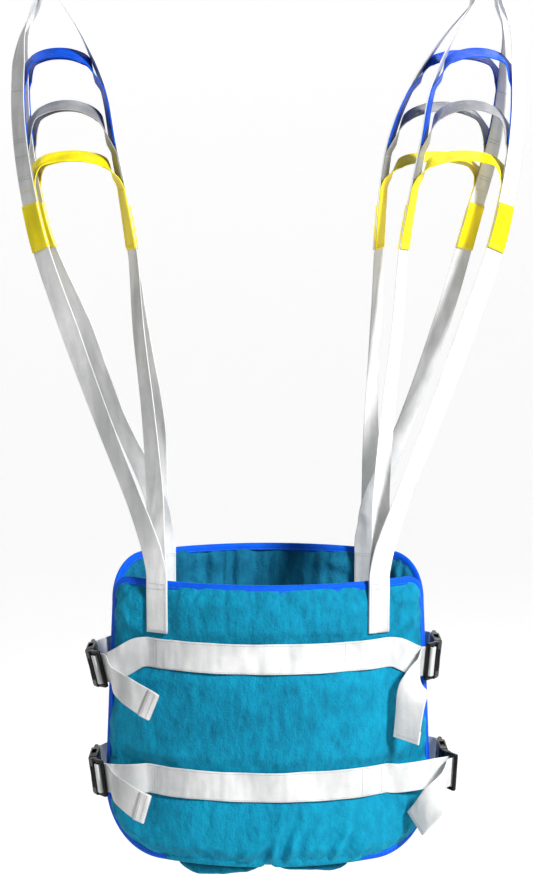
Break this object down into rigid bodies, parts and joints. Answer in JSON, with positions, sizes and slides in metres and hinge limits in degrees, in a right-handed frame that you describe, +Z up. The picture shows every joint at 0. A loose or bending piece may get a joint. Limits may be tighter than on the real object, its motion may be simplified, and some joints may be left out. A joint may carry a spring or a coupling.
{
  "type": "padded walking sling",
  "caption": "Padded two-panel torso sling with side-release buckles and looped webbing straps that hang it from a hoist's spreader bar.",
  "frame": {"origin": "midway between the two points where the strap loops hang on the spreader bar", "axes": "+Z up, along the sling's height; +X across the sling; +Y from the front panel towards the back panel"},
  "size_m": [0.671, 0.2648, 1.168],
  "materials": {
    "teal_cover": "teal velour outer cover",
    "teal_lining": "darker teal lining, gathered",
    "foam": "open-cell foam, hidden",
    "blue_binding": "royal blue tape binding",
    "webbing": "silver-white woven webbing",
    "yellow_webbing": "yellow woven webbing",
    "grey_webbing": "grey woven webbing",
    "blue_webbing": "blue woven webbing",
    "buckle_plastic": "black moulded plastic"
  },
  "bodies": {
    "front_half": {"front_left_blue_loop": "blue_webbing", "front_left_grey_loop": "grey_webbing", "front_left_sling_webbing": "webbing", "front_left_yellow_loop": "yellow_webbing", "front_lower_flap_left": "teal_cover", "front_lower_flap_right": "teal_cover", "front_panel_binding": "blue_binding", "front_panel_cover": "teal_cover", "front_panel_foam": "foam", "front_panel_lining": "teal_lining", "front_right_blue_loop": "blue_webbing", "front_right_grey_loop": "grey_webbing", "front_right_sling_webbing": "webbing", "front_right_yellow_loop": "yellow_webbing", "lower_front_webbing": "webbing", "lower_left_latch": "buckle_plastic", "lower_right_latch": "buckle_plastic", "upper_front_webbing": "webbing", "upper_left_latch": "buckle_plastic", "upper_right_latch": "buckle_plastic"},
    "back_half": {"back_left_blue_loop": "blue_webbing", "back_left_grey_loop": "grey_webbing", "back_left_sling_webbing": "webbing", "back_left_yellow_loop": "yellow_webbing", "back_panel_binding": "blue_binding", "back_panel_cover": "teal_cover", "back_panel_foam": "foam", "back_panel_lining": "teal_lining", "back_right_blue_loop": "blue_webbing", "back_right_grey_loop": "grey_webbing", "back_right_sling_webbing": "webbing", "back_right_yellow_loop": "yellow_webbing", "lower_back_webbing": "webbing", "lower_left_socket": "buckle_plastic", "lower_right_socket": "buckle_plastic", "upper_back_webbing": "webbing", "upper_left_socket": "buckle_plastic", "upper_right_socket": "buckle_plastic"},
    "upper_left_upper_prong": {"upper_left_upper_prong": "buckle_plastic"},
    "upper_left_lower_prong": {"upper_left_lower_prong": "buckle_plastic"},
    "upper_right_upper_prong": {"upper_right_upper_prong": "buckle_plastic"},
    "upper_right_lower_prong": {"upper_right_lower_prong": "buckle_plastic"},
    "lower_left_upper_prong": {"lower_left_upper_prong": "buckle_plastic"},
    "lower_left_lower_prong": {"lower_left_lower_prong": "buckle_plastic"},
    "lower_right_upper_prong": {"lower_right_upper_prong": "buckle_plastic"},
    "lower_right_lower_prong": {"lower_right_lower_prong": "buckle_plastic"}
  },
  "joints": [
    {"name": "back_half_release", "type": "slide", "parent": "front_half", "child": "back_half", "axis": [0, 1, 0], "range_m": [0, 0.15], "deforming": ["lower_left_lower_prong", "lower_left_upper_prong", "lower_right_lower_prong", "lower_right_upper_prong", "upper_left_lower_prong", "upper_left_upper_prong", "upper_right_lower_prong", "upper_right_upper_prong"]},
    {"name": "upper_left_upper_squeeze", "type": "hinge", "parent": "front_half", "child": "upper_left_upper_prong", "pos_m": [-0.23837, -0.0434, -0.88138], "axis": [-0.9744, 0, -0.225], "range_deg": [0, 9.5], "stiffness_Nm_per_rad": 0.8},
    {"name": "upper_left_lower_squeeze", "type": "hinge", "parent": "front_half", "child": "upper_left_lower_prong", "pos_m": [-0.23163, -0.0434, -0.91062], "axis": [0.9744, 0, 0.225], "range_deg": [0, 9.5], "stiffness_Nm_per_rad": 0.8},
    {"name": "upper_right_upper_squeeze", "type": "hinge", "parent": "front_half", "child": "upper_right_upper_prong", "pos_m": [0.22731, -0.0434, -0.86906], "axis": [-0.9962, 0, 0.0872], "range_deg": [0, 9.5], "stiffness_Nm_per_rad": 0.8},
    {"name": "upper_right_lower_squeeze", "type": "hinge", "parent": "front_half", "child": "upper_right_lower_prong", "pos_m": [0.22469, -0.0434, -0.89894], "axis": [0.9962, 0, -0.0872], "range_deg": [0, 9.5], "stiffness_Nm_per_rad": 0.8},
    {"name": "lower_left_upper_squeeze", "type": "hinge", "parent": "front_half", "child": "lower_left_upper_prong", "pos_m": [-0.23683, -0.0434, -1.03111], "axis": [-0.9925, 0, -0.1219], "range_deg": [0, 9.5], "stiffness_Nm_per_rad": 0.8},
    {"name": "lower_left_lower_squeeze", "type": "hinge", "parent": "front_half", "child": "lower_left_lower_prong", "pos_m": [-0.23317, -0.0434, -1.06089], "axis": [0.9925, 0, 0.1219], "range_deg": [0, 9.5], "stiffness_Nm_per_rad": 0.8},
    {"name": "lower_right_upper_squeeze", "type": "hinge", "parent": "front_half", "child": "lower_right_upper_prong", "pos_m": [0.23778, -0.0434, -1.02002], "axis": [-0.9986, 0, 0.0523], "range_deg": [0, 9.5], "stiffness_Nm_per_rad": 0.8},
    {"name": "lower_right_lower_squeeze", "type": "hinge", "parent": "front_half", "child": "lower_right_lower_prong", "pos_m": [0.23622, -0.0434, -1.04998], "axis": [0.9986, 0, -0.0523], "range_deg": [0, 9.5], "stiffness_Nm_per_rad": 0.8}
  ],
  "couplings": [
    {"joint": "upper_left_lower_squeeze", "follows": "upper_left_upper_squeeze", "ratio": 1},
    {"joint": "upper_right_lower_squeeze", "follows": "upper_right_upper_squeeze", "ratio": 1},
    {"joint": "lower_left_lower_squeeze", "follows": "lower_left_upper_squeeze", "ratio": 1},
    {"joint": "lower_right_lower_squeeze", "follows": "lower_right_upper_squeeze", "ratio": 1}
  ]
}
